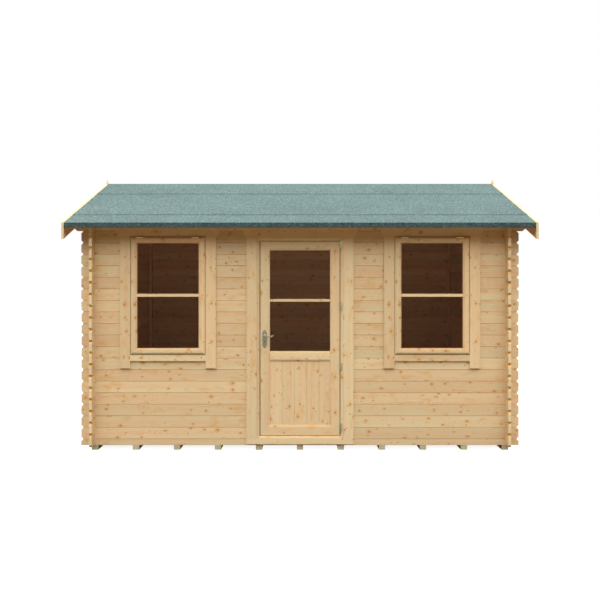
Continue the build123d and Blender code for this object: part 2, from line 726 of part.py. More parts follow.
with BuildPart() as door_levers:
    middle = (plate_x, leaf_middle, lever_level)
    spindle_plane = Plane(origin=middle, x_dir=(1, 0, 0), z_dir=(0, -1, 0))
    with BuildSketch(spindle_plane) as round_bar:
        Circle(spindle_radius)
    extrude(round_bar.sketch, amount=leaf_thickness / 2 + fit, both=True)
    for face_y, outward in faces.values():
        foot_y = face_y + outward * fit
        grip_y = foot_y + outward * lever_stand_off
        with BuildLine() as centre_line:
            FilletPolyline(
                (plate_x, foot_y, lever_level),
                (plate_x, grip_y, lever_level),
                (plate_x + lever_dip_start, grip_y, lever_level - lever_dip),
                (plate_x + lever_dip_end, grip_y, lever_level - lever_dip),
                (plate_x + lever_reach, grip_y, lever_level + lever_tip_rise),
                radius=lever_bends,
            )
        start = Plane(origin=centre_line.line @ 0, z_dir=centre_line.line % 0)
        with BuildSketch(start) as grip:
            Circle(lever_radius)
        sweep(grip.sketch, path=centre_line.line)
        with BuildSketch(start) as neck:
            Circle(lever_neck_radius)
        extrude(neck.sketch, amount=plate_thickness + lever_neck_radius)
save(door_levers, "door_levers")
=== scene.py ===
import math

import bmesh
import bpy
from mathutils import Matrix, Vector


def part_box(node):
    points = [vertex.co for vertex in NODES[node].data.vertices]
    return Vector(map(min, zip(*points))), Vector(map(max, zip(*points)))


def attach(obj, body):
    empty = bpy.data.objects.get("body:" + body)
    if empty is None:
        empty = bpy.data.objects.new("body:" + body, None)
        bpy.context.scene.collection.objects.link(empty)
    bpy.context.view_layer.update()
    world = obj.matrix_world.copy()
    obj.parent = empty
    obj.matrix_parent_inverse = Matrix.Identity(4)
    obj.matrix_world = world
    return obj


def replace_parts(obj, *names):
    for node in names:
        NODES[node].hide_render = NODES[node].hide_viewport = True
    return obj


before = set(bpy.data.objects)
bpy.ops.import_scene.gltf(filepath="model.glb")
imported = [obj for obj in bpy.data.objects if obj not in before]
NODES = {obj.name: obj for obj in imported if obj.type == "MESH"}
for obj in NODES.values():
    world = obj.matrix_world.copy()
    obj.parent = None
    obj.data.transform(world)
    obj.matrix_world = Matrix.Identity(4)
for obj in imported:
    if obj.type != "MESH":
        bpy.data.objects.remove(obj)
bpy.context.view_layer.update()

# A log cabin of bare spruce logs: a felted ridge roof, a half-glazed door and two top-hung windows.
# Metres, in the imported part's frame: +X to the right of the door wall, +Y to the back, +Z up.
mm = 0.001
scene = bpy.context.scene
BOXES = {name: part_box(name) for name in NODES}

# ---- Sizes of the construction that the finishes and the added pieces follow ----
LOG_COVER = 111 * mm
FIRST_JOINT = 105 * mm
GABLE_JOINT = FIRST_JOINT + LOG_COVER / 2
ROOF_RISE = 0.35
ROOF_SLOPE = math.atan(ROOF_RISE)
ROOF_BOARD_COVER = 96 * mm
FLOOR_BOARD_COVER = 95 * mm
PANEL_BOARD_COVER = 118 * mm
BEARER_PITCH = 394.3 * mm
BOARD_GAP = 0.3 * mm
FOOT_BOARD_TOP = 110.2 * mm  # across the foot of the door casing
V_JOINT = 2.5 * mm
SCREW_PROUD = 0.9 * mm
NAIL_PROUD = 1.0 * mm


# ---- Node and colour helpers ----
def linear(hex_colour):
    """Linear RGBA of an sRGB hex colour."""
    channels = [int(hex_colour[i : i + 2], 16) / 255 for i in (1, 3, 5)]
    return tuple(c / 12.92 if c <= 0.04045 else ((c + 0.055) / 1.055) ** 2.4 for c in channels) + (1.0,)


def first_output(node):
    """A node's first output that is in use."""
    return next(socket for socket in node.outputs if socket.enabled)


def add(tree, kind, *values, stops=(), **settings):
    """Add a shader node with its settings and ramp stops, then its inputs as values, sockets or nodes."""
    node = tree.nodes.new("ShaderNode" + kind)
    for name, value in settings.items():
        setattr(node, name, value)
    for index, (position, colour) in enumerate(stops):
        elements = node.color_ramp.elements
        element = elements[index] if index < len(elements) else elements.new(position)
        element.position = position
        element.color = colour
    sockets = [socket for socket in node.inputs if socket.enabled]
    for socket, value in zip(sockets, values):
        if isinstance(value, bpy.types.Node):
            value = first_output(value)
        if isinstance(value, bpy.types.NodeSocket):
            tree.links.new(value, socket)
        elif value is not None:
            socket.default_value = value
    return node


def new_material(name, **sockets):
    """Principled material, with its constant values set on the shader's own sockets."""
    material = bpy.data.materials.new(name)
    material.use_nodes = True
    shader = material.node_tree.nodes["Principled BSDF"]
    for socket, value in sockets.items():
        shader.inputs[socket.replace("_", " ")].default_value = value
    return material, material.node_tree, shader


def link(tree, source, shader, socket):
    """Link a node's output, or a socket, to a named input of the shader."""
    if isinstance(source, bpy.types.Node):
        source = first_output(source)
    tree.links.new(source, shader.inputs[socket])


# ---- Spruce ----
# Directions along the grain, across the face and through the board, for each way that a board lies.
COSINE = math.cos(ROOF_SLOPE)
SINE = math.sin(ROOF_SLOPE)
ALONG_X = ((1, 0, 0), (0, 0, 1), (0, 1, 0))
ALONG_Y = ((0, 1, 0), (0, 0, 1), (1, 0, 0))
UPRIGHT = ((0, 0, 1), (1, 0, 0), (0, 1, 0))
FLAT_X = ((1, 0, 0), (0, 1, 0), (0, 0, 1))
DOWN_ROOF = ((0, COSINE, SINE), (1, 0, 0), (0, -SINE, COSINE))
DOWN_BARGE = ((0, COSINE, SINE), (0, -SINE, COSINE), (1, 0, 0))

YELLOWISH = linear("#E5D7AC")
PINKISH = linear("#E7C59A")
LATEWOOD = linear("#C4945C")
KNOT = linear("#C48350")
KNOT_EDGE = linear("#A86A40")
KNOT_HALO = linear("#DCA45E")
RESIN = linear("#DFAE68")
END_GRAIN = linear("#E4C27C")
END_FACE = linear("#EAD6AE")
JOINT_SHADE = linear("#C28A48")
# Painted shade, multiplied into faces that point up.
SKYWARD_PAINTED_SHADE = linear("#EDDFD1")
WHITE = (1, 1, 1, 1)
BLACK = (0, 0, 0, 1)
# Patterns a metre: along the grain, across the board and through it.
WANDER = (0.9, 5, 5)
LONG_STREAKS = (1.3, 26, 26)
RESIN_STREAKS = (7, 16, 16)
FIBRES = (30, 900, 900)
RING_WIDTH = 4.5 * mm
PITH_DEPTH = 45 * mm
KNOT_SPACING = 120 * mm
KNOT_WIDTH = 105 * mm
SMALLEST_KNOT = 0.1 * mm
LARGEST_KNOT = 11.5 * mm
KNOT_RAGGED = 9 * mm
WHORL_LENGTH = 60 * mm
WHORL_REACH = 130 * mm
KNOT_BULGE = 12 * mm  # how far the rings swell round a knot
JOINT_WIDTH = 4.5 * mm
GRAIN_DEPTH = 0.3 * mm


def lie(tree, point, axes):
    """A point as its distances along the grain, across the board and through it."""
    parts = [add(tree, "VectorMath", point, axis, operation="DOT_PRODUCT") for axis in axes]
    return add(tree, "CombineXYZ", *parts)


def fold(tree, point):
    """The point on the front slope of the roof that mirrors a point on the back slope."""
    split = add(tree, "SeparateXYZ", point)
    depth = add(tree, "Math", split.outputs["Y"], operation="ABSOLUTE")
    depth = add(tree, "Math", depth, -1, operation="MULTIPLY")
    return add(tree, "CombineXYZ", split.outputs["X"], depth, split.outputs["Z"])


def spruce(name, axes, cover, first, middle, seed, tone=1.0, joint=0.0, folded=False, turned=None,
           halves=False, variety=1.0):
    """Planed spruce, bare and pale: wandering growth rings, red-brown knots, and each board has its own tone.

    cover is the width of one board and first is where a board begins, middle is the plane through the
    middle of the boards, joint is how far the joints between boards darken, turned gives a socket that is
    1 where the grain runs another way, halves is for courses of two logs, which part at the middle, and
    variety is how far one board differs from the next.
    """
    material, tree, shader = new_material(name, Specular_IOR_Level=0.12)
    texture = add(tree, "TexCoord")
    point, normal = texture.outputs["Object"], texture.outputs["Normal"]
    if folded:
        point = fold(tree, point)
    place = lie(tree, point, axes)
    facing_end = add(tree, "VectorMath", normal, axes[0], operation="DOT_PRODUCT")
    if turned:
        where, other = turned(tree, point)
        place = add(tree, "Mix", where, place, lie(tree, point, other), data_type="VECTOR")
        other_end = add(tree, "VectorMath", normal, other[0], operation="DOT_PRODUCT")
        facing_end = add(tree, "Mix", where, facing_end, other_end)
    along, across, through = add(tree, "SeparateXYZ", place).outputs

    # Each board by its number, with three random values of its own.
    counted = add(tree, "Math", across, first, operation="SUBTRACT")
    counted = add(tree, "Math", counted, cover, operation="DIVIDE")
    board = add(tree, "Math", counted, operation="FLOOR")
    half = add(tree, "Math", along, 0.0, operation="GREATER_THAN") if halves else 0.0
    identity = add(tree, "TexWhiteNoise", add(tree, "CombineXYZ", board, half, seed))
    hue, shift, depth = add(tree, "SeparateColor", identity.outputs["Color"]).outputs
    local = add(tree, "Math", counted, board, operation="SUBTRACT")
    local = add(tree, "Math", local, 0.5, operation="SUBTRACT")
    local = add(tree, "Math", local, cover, operation="MULTIPLY")
    moved = add(tree, "Math", shift, 40, along, operation="MULTIPLY_ADD")
    drifted = add(tree, "Math", hue, 9, across, operation="MULTIPLY_ADD")
    drift = add(tree, "CombineXYZ", moved, drifted, through)

    # Knots: one to a cell of the board's length, most with a second one beside it from the same whorl.
    cell_width = min(cover, KNOT_WIDTH)
    cell_across = add(tree, "Math", across, first, operation="SUBTRACT")
    cell_across = add(tree, "Math", cell_across, cell_width, operation="DIVIDE")
    cell_along = add(tree, "Math", moved, KNOT_SPACING, operation="DIVIDE")
    cell = add(tree, "CombineXYZ", cell_along, cell_across, seed)
    scatter = add(tree, "TexVoronoi", cell, 1.0, voronoi_dimensions="2D")
    offset = add(tree, "VectorMath", cell, scatter.outputs["Position"], operation="SUBTRACT")
    offset = add(tree, "VectorMath", offset, (KNOT_SPACING, cell_width, 0), operation="MULTIPLY")
    size, way, reach = add(tree, "SeparateColor", scatter.outputs["Color"]).outputs
    pair_along = add(tree, "Math", way, -0.5, operation="ADD")
    pair_across = add(tree, "Math", reach, -0.5, operation="ADD")
    pair = add(tree, "CombineXYZ", pair_along, pair_across)
    partner = add(tree, "VectorMath", pair, (WHORL_LENGTH, WHORL_REACH, 0), offset, operation="MULTIPLY_ADD")
    radius = add(tree, "MapRange", size, 0.3, 1.0, SMALLEST_KNOT, LARGEST_KNOT)
    ratio = add(tree, "VectorMath", offset, operation="LENGTH")
    ratio = add(tree, "Math", ratio, radius, operation="DIVIDE")
    small = add(tree, "Math", radius, 0.75, operation="MULTIPLY")
    second = add(tree, "VectorMath", partner, operation="LENGTH")
    second = add(tree, "Math", second, small, operation="DIVIDE")
    ratio = add(tree, "Math", ratio, second, operation="MINIMUM")
    ragged = add(tree, "TexNoise", drift, 1 / KNOT_RAGGED, 2.0, 0.5)
    ratio = add(tree, "Math", ragged, 0.7, ratio, operation="MULTIPLY_ADD")
    knot = add(tree, "MapRange", ratio, 1.35, 0.95, 0.0, 1.0, interpolation_type="SMOOTHSTEP")
    stretched = add(tree, "VectorMath", offset, (0.6, 1, 0), operation="MULTIPLY")
    stretched = add(tree, "VectorMath", stretched, operation="LENGTH")
    stretched = add(tree, "Math", stretched, radius, operation="DIVIDE")
    halo = add(tree, "MapRange", stretched, 2.6, 0.5, 0.0, 1.0, interpolation_type="SMOOTHSTEP")

    # Growth rings round a pith that wanders behind the board's face.
    slow = add(tree, "VectorMath", drift, WANDER, operation="MULTIPLY")
    wander = add(tree, "TexNoise", slow, 1.0, 2.0, 0.5)
    side = add(tree, "Math", add(tree, "Math", shift, 0.5, operation="SUBTRACT"), cover, operation="MULTIPLY")
    side = add(tree, "Math", local, side, operation="SUBTRACT")
    pith = add(tree, "MapRange", wander, 0.3, 0.7, 0.2 * PITH_DEPTH, 1.6 * PITH_DEPTH)
    behind = add(tree, "Math", through, middle, operation="SUBTRACT")
    behind = add(tree, "Math", behind, pith, operation="ADD")
    behind = add(tree, "Math", halo, KNOT_BULGE, behind, operation="MULTIPLY_ADD")
    ring = add(tree, "VectorMath", add(tree, "CombineXYZ", side, behind), operation="LENGTH")
    ring = add(tree, "Math", add(tree, "Math", ring, RING_WIDTH, operation="DIVIDE"), operation="FRACT")
    early = (0.2, 0.2, 0.2, 1)
    late = add(tree, "ValToRGB", ring, stops=((0, BLACK), (0.5, early), (0.88, WHITE), (1, BLACK)))

    # Colour: yellowish sapwood to pinkish heartwood, from board to board and in long streaks.
    long_streak = add(tree, "VectorMath", drift, LONG_STREAKS, operation="MULTIPLY")
    streak = add(tree, "TexNoise", long_streak, 1.0, 3.0, 0.55)
    streak = add(tree, "MapRange", streak, 0.36, 0.64, 0.0, 0.5)
    heart = add(tree, "Math", side, operation="ABSOLUTE")
    heart = add(tree, "MapRange", heart, 0.3 * LOG_COVER, 0.12 * LOG_COVER, 0.0, 0.25)
    warmth = add(tree, "MapRange", hue, 0.0, 1.0, 0.25 - 0.25 * variety, 0.25 + 0.25 * variety)
    warmth = add(tree, "Math", warmth, streak, operation="ADD")
    warmth = add(tree, "Math", warmth, heart, operation="ADD", use_clamp=True)
    colour = add(tree, "Mix", warmth, YELLOWISH, PINKISH, data_type="RGBA")
    resin = add(tree, "VectorMath", drift, RESIN_STREAKS, operation="MULTIPLY")
    resin = add(tree, "TexNoise", resin, 1.0, 2.0, 0.5)
    resin = add(tree, "MapRange", resin, 0.56, 0.74, 0.0, 0.55)
    colour = add(tree, "Mix", resin, colour, RESIN, data_type="RGBA")
    grain_mix = add(tree, "Math", late, 0.32, operation="MULTIPLY")
    colour = add(tree, "Mix", grain_mix, colour, LATEWOOD, data_type="RGBA")
    halo_mix = add(tree, "MapRange", reach, 0.0, 1.0, 0.15, 0.75)
    halo_mix = add(tree, "Math", halo, halo_mix, operation="MULTIPLY")
    colour = add(tree, "Mix", halo_mix, colour, KNOT_HALO, data_type="RGBA")
    rim = add(tree, "MapRange", ratio, 0.65, 1.3)
    knot_colour = add(tree, "Mix", rim, KNOT, KNOT_EDGE, data_type="RGBA")
    knot_mix = add(tree, "Math", knot, 0.82, operation="MULTIPLY")
    colour = add(tree, "Mix", knot_mix, colour, knot_colour, data_type="RGBA")
    facing_end = add(tree, "Math", facing_end, operation="ABSOLUTE")
    end_colour = add(tree, "ValToRGB", facing_end, stops=((0.8, END_GRAIN), (0.92, END_FACE)))
    end_mix = add(tree, "MapRange", facing_end, 0.6, 0.7, 0.0, 0.75)
    colour = add(tree, "Mix", end_mix, colour, end_colour, data_type="RGBA")
    # Joints between boards darken: partly their own darker tone, partly painted shade in the grooves between
    # boards.
    if joint:
        edge = add(tree, "Math", add(tree, "Math", local, operation="ABSOLUTE"), -1, operation="MULTIPLY")
        edge = add(tree, "Math", edge, cover / 2, operation="ADD")
        shade = add(tree, "MapRange", edge, JOINT_WIDTH, 0.0, 0.0, joint)
        colour = add(tree, "Mix", shade, colour, JOINT_SHADE, data_type="RGBA")
    darkest = (0.99 - 0.07 * variety) * tone
    palest = (0.99 + 0.07 * variety) * tone
    level = add(tree, "MapRange", depth, 0.0, 1.0, darkest, palest)
    colour = add(tree, "VectorMath", colour, level, operation="SCALE")
    # Faces that point up are darkened to a warmer tone: painted shade, against the strong light from above.
    upness_for_painted_shade = add(tree, "VectorMath", normal, (0, 0, 1), operation="DOT_PRODUCT")
    upness_for_painted_shade = add(tree, "MapRange", upness_for_painted_shade, 0.2, 0.45)
    colour = add(tree, "Mix", upness_for_painted_shade, colour, SKYWARD_PAINTED_SHADE, data_type="RGBA", blend_type="MULTIPLY")
    link(tree, colour, shader, "Base Color")

    # Planed surface: latewood stands a little proud and is a little smoother.
    fibre = add(tree, "VectorMath", drift, FIBRES, operation="MULTIPLY")
    fibre = add(tree, "TexNoise", fibre, 1.0, 2.0)
    fibre = add(tree, "Math", fibre, 0.4, operation="MULTIPLY")
    height = add(tree, "Math", late, 0.6, fibre, operation="MULTIPLY_ADD")
    link(tree, add(tree, "Bump", 0.35, GRAIN_DEPTH, None, height), shader, "Normal")
    link(tree, add(tree, "MapRange", late, 0.0, 1.0, 0.64, 0.52), shader, "Roughness")
    return material


def inside_rectangle(bounds, head, foot=0.0):
    """Where a board runs level in a casing: between its side boards, above them or below them."""
    def turned(tree, point):
        split = add(tree, "SeparateXYZ", point)
        away = add(tree, "Math", split.outputs["X"], sum(bounds) / 2, operation="SUBTRACT")
        away = add(tree, "Math", away, operation="ABSOLUTE")
        between = add(tree, "Math", away, (bounds[1] - bounds[0]) / 2, operation="LESS_THAN")
        above = add(tree, "Math", split.outputs["Z"], head, operation="GREATER_THAN")
        below = add(tree, "Math", split.outputs["Z"], foot, operation="LESS_THAN")
        past = add(tree, "Math", above, below, operation="MAXIMUM")
        return add(tree, "Math", between, past, operation="MAXIMUM"), ALONG_X
    return turned


def mitred(bounds, widths):
    """Where a member runs level in a frame with mitred corners, of (stile, bottom rail, top rail) widths."""
    left, bottom, right, top = bounds
    stile, bottom_rail, top_rail = widths

    def turned(tree, point):
        split = add(tree, "SeparateXYZ", point)
        away = add(tree, "Math", split.outputs["X"], (left + right) / 2, operation="SUBTRACT")
        away = add(tree, "Math", away, operation="ABSOLUTE")
        from_side = add(tree, "Math", (right - left) / 2, away, operation="SUBTRACT")
        from_side = add(tree, "Math", from_side, stile, operation="DIVIDE")
        low = add(tree, "Math", split.outputs["Z"], bottom, operation="SUBTRACT")
        low = add(tree, "Math", low, bottom_rail, operation="DIVIDE")
        high = add(tree, "Math", top, split.outputs["Z"], operation="SUBTRACT")
        high = add(tree, "Math", high, top_rail, operation="DIVIDE")
        nearest = add(tree, "Math", low, high, operation="MINIMUM")
        nearest = add(tree, "Math", nearest, 1.0, operation="MINIMUM")
        return add(tree, "Math", from_side, nearest, operation="GREATER_THAN"), ALONG_X
    return turned


# ---- Other finishes ----
FELT_DARK = linear("#31413F")
FELT = linear("#4E6261")
FELT_LIGHT = linear("#859790")
GRIT = 16 * mm  # real grit is about 1 mm, drawn as coarse as it needs to show
GRIT_FINE = 4 * mm
GRIT_DEPTH = 1.2 * mm
SAWN_DEPTH = 0.6 * mm
SCRATCH_DEPTH = 0.1 * mm
# Patterns a metre, along X, Y and Z.
PINE_GRAIN = (90, 3, 90)
SAW_MARKS = (6, 220, 6)


def mineral_felt(name):
    """Bitumen felt with pressed green mineral grit: a rough matt green that sparkles light and dark."""
    material, tree, shader = new_material(name, Roughness=0.9, Specular_IOR_Level=0.2)
    texture = add(tree, "TexCoord")
    point = texture.outputs["Object"]
    coarse = add(tree, "TexNoise", point, 1 / GRIT, 3.0, 0.7)
    fine = add(tree, "TexVoronoi", point, 1 / GRIT_FINE)
    broad = add(tree, "TexNoise", point, 2.2, 3.0, 0.6)
    speck = add(tree, "SeparateColor", fine.outputs["Color"])
    speck = add(tree, "Math", speck.outputs[0], 0.2, operation="MULTIPLY")
    light = add(tree, "Math", coarse, 0.8, speck, operation="MULTIPLY_ADD")
    stops = ((0.3, FELT_DARK), (0.47, FELT), (0.54, FELT), (0.72, FELT_LIGHT))
    level = add(tree, "MapRange", broad, 0.3, 0.7, 0.92, 1.08)
    # Faces that turn down from the slope, as on the eaves, are darker: painted shade.
    upness_for_painted_shade = add(tree, "VectorMath", texture.outputs["Normal"], (0, 0, 1), operation="DOT_PRODUCT")
    turned_down_painted_shade = add(tree, "MapRange", upness_for_painted_shade, 0.2, 0.6, 0.72, 1.0)
    level = add(tree, "Math", level, turned_down_painted_shade, operation="MULTIPLY")
    colour = add(tree, "ValToRGB", light, stops=stops)
    colour = add(tree, "VectorMath", colour, level, operation="SCALE")
    link(tree, colour, shader, "Base Color")
    link(tree, add(tree, "Bump", 0.6, GRIT_DEPTH, None, light), shader, "Normal")
    return material


def treated_pine(name):
    """Sawn pine, pressure treated: grey green, with saw marks across it and open grain."""
    material, tree, shader = new_material(name, Roughness=0.8, Specular_IOR_Level=0.25)
    point = add(tree, "TexCoord").outputs["Object"]
    grain = add(tree, "VectorMath", point, PINE_GRAIN, operation="MULTIPLY")
    grain = add(tree, "TexNoise", grain, 1.0, 3.0, 0.6)
    saw = add(tree, "VectorMath", point, SAW_MARKS, operation="MULTIPLY")
    saw = add(tree, "TexNoise", saw, 1.0, 2.0)
    saw = add(tree, "Math", saw, 0.3, operation="MULTIPLY")
    mixed = add(tree, "Math", grain, 0.7, saw, operation="MULTIPLY_ADD")
    stops = ((0.3, linear("#B3A682")), (0.55, linear("#CABD97")), (0.75, linear("#D8CDA9")))
    link(tree, add(tree, "ValToRGB", mixed, stops=stops), shader, "Base Color")
    link(tree, add(tree, "Bump", 0.5, SAWN_DEPTH, None, mixed), shader, "Normal")
    return material


def brushed_metal(name, hex_colour, roughness, stretch):
    """Metal brushed along one way: fine scratches that spread the highlight across them."""
    material, tree, shader = new_material(name, Metallic=1.0)
    point = add(tree, "TexCoord").outputs["Object"]
    scratch = add(tree, "VectorMath", point, stretch, operation="MULTIPLY")
    scratch = add(tree, "TexNoise", scratch, 1.0, 3.0, 0.6)
    dark = tuple(c * 0.78 for c in linear(hex_colour)[:3]) + (1.0,)
    link(tree, add(tree, "Mix", scratch, dark, linear(hex_colour), data_type="RGBA"), shader, "Base Color")
    spread = add(tree, "MapRange", scratch, 0.3, 0.7, roughness - 0.06, roughness + 0.08)
    link(tree, spread, shader, "Roughness")
    link(tree, add(tree, "Bump", 0.15, SCRATCH_DEPTH, None, scratch), shader, "Normal")
    return material


def float_glass(name, clean, dusty):
    """Float glass, barely warm in tone, with a faint film of dust, that lets light into the cabin; its tint
    is painted shade that darkens the room seen through it.
    """
    material, tree, shader = new_material(name, Transmission_Weight=1.0, IOR=1.12)
    point = add(tree, "TexCoord").outputs["Object"]
    film = add(tree, "TexNoise", point, 9.0, 4.0, 0.6)
    link(tree, add(tree, "MapRange", film, 0.3, 0.7, 0.0, 0.03), shader, "Roughness")
    tint = add(tree, "Mix", film, linear(clean), linear(dusty), data_type="RGBA")
    link(tree, tint, shader, "Base Color")
    clear = add(tree, "BsdfTransparent", linear(clean))
    passing = add(tree, "LightPath").outputs["Is Shadow Ray"]
    output = tree.nodes["Material Output"]
    link(tree, add(tree, "MixShader", passing, shader, clear), output, "Surface")
    return material


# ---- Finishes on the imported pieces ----
def finish_with(material, *names):
    """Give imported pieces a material."""
    for name in names:
        NODES[name].data.materials.clear()
        NODES[name].data.materials.append(material)


def middle_of(name, axis):
    """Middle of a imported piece's box along an axis."""
    low, high = BOXES[name]
    return (low[axis] + high[axis]) / 2


front_middle = middle_of("front_base_log", 1)
back_middle = middle_of("back_wall", 1)
gable_middle = middle_of("right_gable_wall", 0)
LOG_JOINT = 0.3  # how far the joints between logs darken
SASH_FACE = 61 * mm
LINING_FACE = 24 * mm
CASING_INNER = 361 * mm  # from a window's middle to where its casing's side boards begin
LEAF_FACES = (90 * mm, 101 * mm, 84 * mm)  # stile, bottom rail and top rail
JAMB_FACES = (24 * mm, 72 * mm, 34 * mm)  # jamb, sill and head
DOOR_HEAD_INNER = 0.3  # within the side boards of the door casing
finish_with(spruce("planed_spruce_front_logs", ALONG_X, LOG_COVER, FIRST_JOINT, front_middle, 21.0,
                   joint=LOG_JOINT, halves=True), "front_wall_left", "front_wall_right")
finish_with(spruce("planed_spruce_lapped_logs", ALONG_X, LOG_COVER, FIRST_JOINT, front_middle, 2.0,
                   joint=LOG_JOINT), "front_wall_over_door", "front_base_log")
finish_with(spruce("planed_spruce_back_logs", ALONG_X, LOG_COVER, FIRST_JOINT, back_middle, 3.0,
                   joint=LOG_JOINT), "back_wall")
finish_with(spruce("planed_spruce_left_gable", ALONG_Y, LOG_COVER, GABLE_JOINT, -gable_middle, 4.0,
                   joint=LOG_JOINT), "left_gable_wall")
finish_with(spruce("planed_spruce_right_gable", ALONG_Y, LOG_COVER, GABLE_JOINT, gable_middle, 5.0,
                   joint=LOG_JOINT), "right_gable_wall")
finish_with(spruce("planed_spruce_purlins", ALONG_X, 0.4, 0.0, 0.0, 6.0), "ridge_purlin", "front_purlin",
            "back_purlin", "eaves_board_front", "eaves_board_back")
floor_spruce = spruce("planed_spruce_floor", FLAT_X, FLOOR_BOARD_COVER, BOXES["floor_boards"][0].y, 0.05, 7.0,
                      joint=0.5)
finish_with(floor_spruce, "floor_boards")
roof_start = BOXES["roof_boards_front"][0].x
roof_spruce = spruce("planed_spruce_roof", DOWN_ROOF, ROOF_BOARD_COVER, roof_start, 2.6, 8.0, joint=0.5,
                     folded=True)
finish_with(roof_spruce, "roof_boards_front", "roof_boards_back")
finish_with(spruce("planed_spruce_barge", DOWN_BARGE, 0.5, 0.0, 2.2, 9.0, tone=0.98, folded=True),
            "barge_boards_left", "barge_boards_right")
upright_spruce = spruce("planed_spruce_uprights", UPRIGHT, 0.25, 0.0, 0.0, 10.0)
finish_with(upright_spruce, "finial_left", "finial_right", "wind_braces")

for side in ("left", "right"):
    sash_low, sash_high = BOXES["window_sash_" + side]
    frame_low, frame_high = BOXES["window_frame_" + side]
    centre = middle_of("window_sash_" + side, 0)
    sash = mitred((sash_low.x, sash_low.z, sash_high.x, sash_high.z), (SASH_FACE,) * 3)
    finish_with(spruce("planed_spruce_sash_" + side, UPRIGHT, 0.4, centre - 0.4, sash_low.y, 33.0, 1.05,
                       turned=sash), "window_sash_" + side)
    lining = mitred((frame_low.x, frame_low.z, frame_high.x, frame_high.z), (LINING_FACE,) * 3)
    finish_with(spruce("planed_spruce_lining_" + side, UPRIGHT, 0.45, centre - 0.45, frame_low.y, 12.0, 1.03,
                       turned=lining), "window_frame_" + side)
    casing_sides = (centre - CASING_INNER, centre + CASING_INNER)
    level = inside_rectangle(casing_sides, frame_high.z - LINING_FACE)
    casing_low = BOXES["window_casing_" + side][0]
    finish_with(spruce("planed_spruce_casing_" + side, UPRIGHT, 0.5, centre - 0.5, casing_low.y, 33.0, 1.03,
                       turned=level), "window_casing_" + side)

door_low, door_high = BOXES["door_leaf"]
leaf_turned = mitred((door_low.x, door_low.z, door_high.x, door_high.z), LEAF_FACES)
finish_with(spruce("planed_spruce_door", UPRIGHT, 0.4, -0.4, door_low.y, 14.0, 1.05,
                   turned=leaf_turned), "door_leaf")
panel_start = BOXES["door_panel"][0].x
finish_with(spruce("planed_spruce_door_panel", UPRIGHT, PANEL_BOARD_COVER, panel_start, door_low.y, 15.0,
                   1.05, joint=0.16, variety=0.4), "door_panel")
jamb_low, jamb_high = BOXES["door_frame"]
jamb_turned = mitred((jamb_low.x, jamb_low.z, jamb_high.x, jamb_high.z), JAMB_FACES)
finish_with(spruce("planed_spruce_door_frame", UPRIGHT, 0.45, -0.45, jamb_low.y, 16.0, 1.04,
                   turned=jamb_turned), "door_frame")
head_turned = inside_rectangle((-DOOR_HEAD_INNER, DOOR_HEAD_INNER), jamb_high.z, FOOT_BOARD_TOP)
finish_with(spruce("planed_spruce_door_casing", UPRIGHT, 0.75, -0.75, jamb_low.y, 17.0, 1.04,
                   turned=head_turned), "door_casing")

felt = mineral_felt("mineral_grit_felt")
finish_with(felt, *[name for name in NODES if name.startswith("felt_")])
finish_with(treated_pine("sawn_treated_pine"), "floor_bearers")
zinc = brushed_metal("zinc_plated_steel", "#C0BA9B", 0.5, (300, 300, 20))
finish_with(zinc, "door_hinge_leaves", "door_hinge_frame_halves")
galvanised = brushed_metal("galvanised_steel", "#3F4746", 0.6, (200, 200, 200))
nickel = brushed_metal("brushed_nickel", "#98947C", 0.4, (400, 400, 25))
finish_with(nickel, "door_handle_plates")
satin_nickel = brushed_metal("satin_nickel", "#B9B6A4", 0.34, (60, 400, 400))
finish_with(satin_nickel, "door_levers")
polished_nickel = brushed_metal("polished_nickel", "#F1F0E8", 0.2, (100, 100, 100))
yellow_zinc = brushed_metal("yellow_passivated_zinc", "#CBA971", 0.4, (300, 300, 300))
finish_with(yellow_zinc, "window_hinges_left", "window_hinges_right")
# Door and windows hold the same glass; the door's pane is tinted paler than the windows' panes: painted
# light.
window_glass = float_glass("clear_float_glass", "#EDD7C7", "#F1DDCF")
finish_with(window_glass, "window_glass_left", "window_glass_right")
finish_with(float_glass("clear_door_glass", "#F2E2D6", "#F6E8DE"), "door_glass")


# ---- Making added pieces ----
def make_piece(name, bm, material, body):
    """Turn a bmesh into a piece with a material, which rides on a body and takes its finish from a slot."""
    bmesh.ops.recalc_face_normals(bm, faces=bm.faces)
    mesh = bpy.data.meshes.new(name)
    bm.to_mesh(mesh)
    bm.free()
    mesh.materials.append(material)
    piece = bpy.data.objects.new(name, mesh)
    scene.collection.objects.link(piece)
    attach(piece, body)
    return piece


def block(bm, low, high):
    """Rectangular block between two corners."""
    low, high = Vector(low), Vector(high)
    matrix = Matrix.Translation((low + high) / 2) @ Matrix.Diagonal((*(high - low), 1))
    return bmesh.ops.create_cube(bm, size=1, matrix=matrix)["verts"]


def bevel_where(bm, verts, keep, width, segments=1):
    """Bevel the edges of a set of vertices whose two ends pass a test."""
    inside = set(verts)
    edges = {edge for vert in verts for edge in vert.link_edges if inside.issuperset(edge.verts)}
    edges = [edge for edge in edges if keep(*(vert.co for vert in edge.verts))]
    bmesh.ops.bevel(bm, geom=edges, offset=width, offset_type="OFFSET", segments=segments, profile=0.5,
                    affect="EDGES", material=-1)


def facing(centre, normal):
    """Matrix that stands a shape made along Z on a surface."""
    return Matrix.Translation(centre) @ Vector(normal).to_track_quat("Z", "Y").to_matrix().to_4x4()


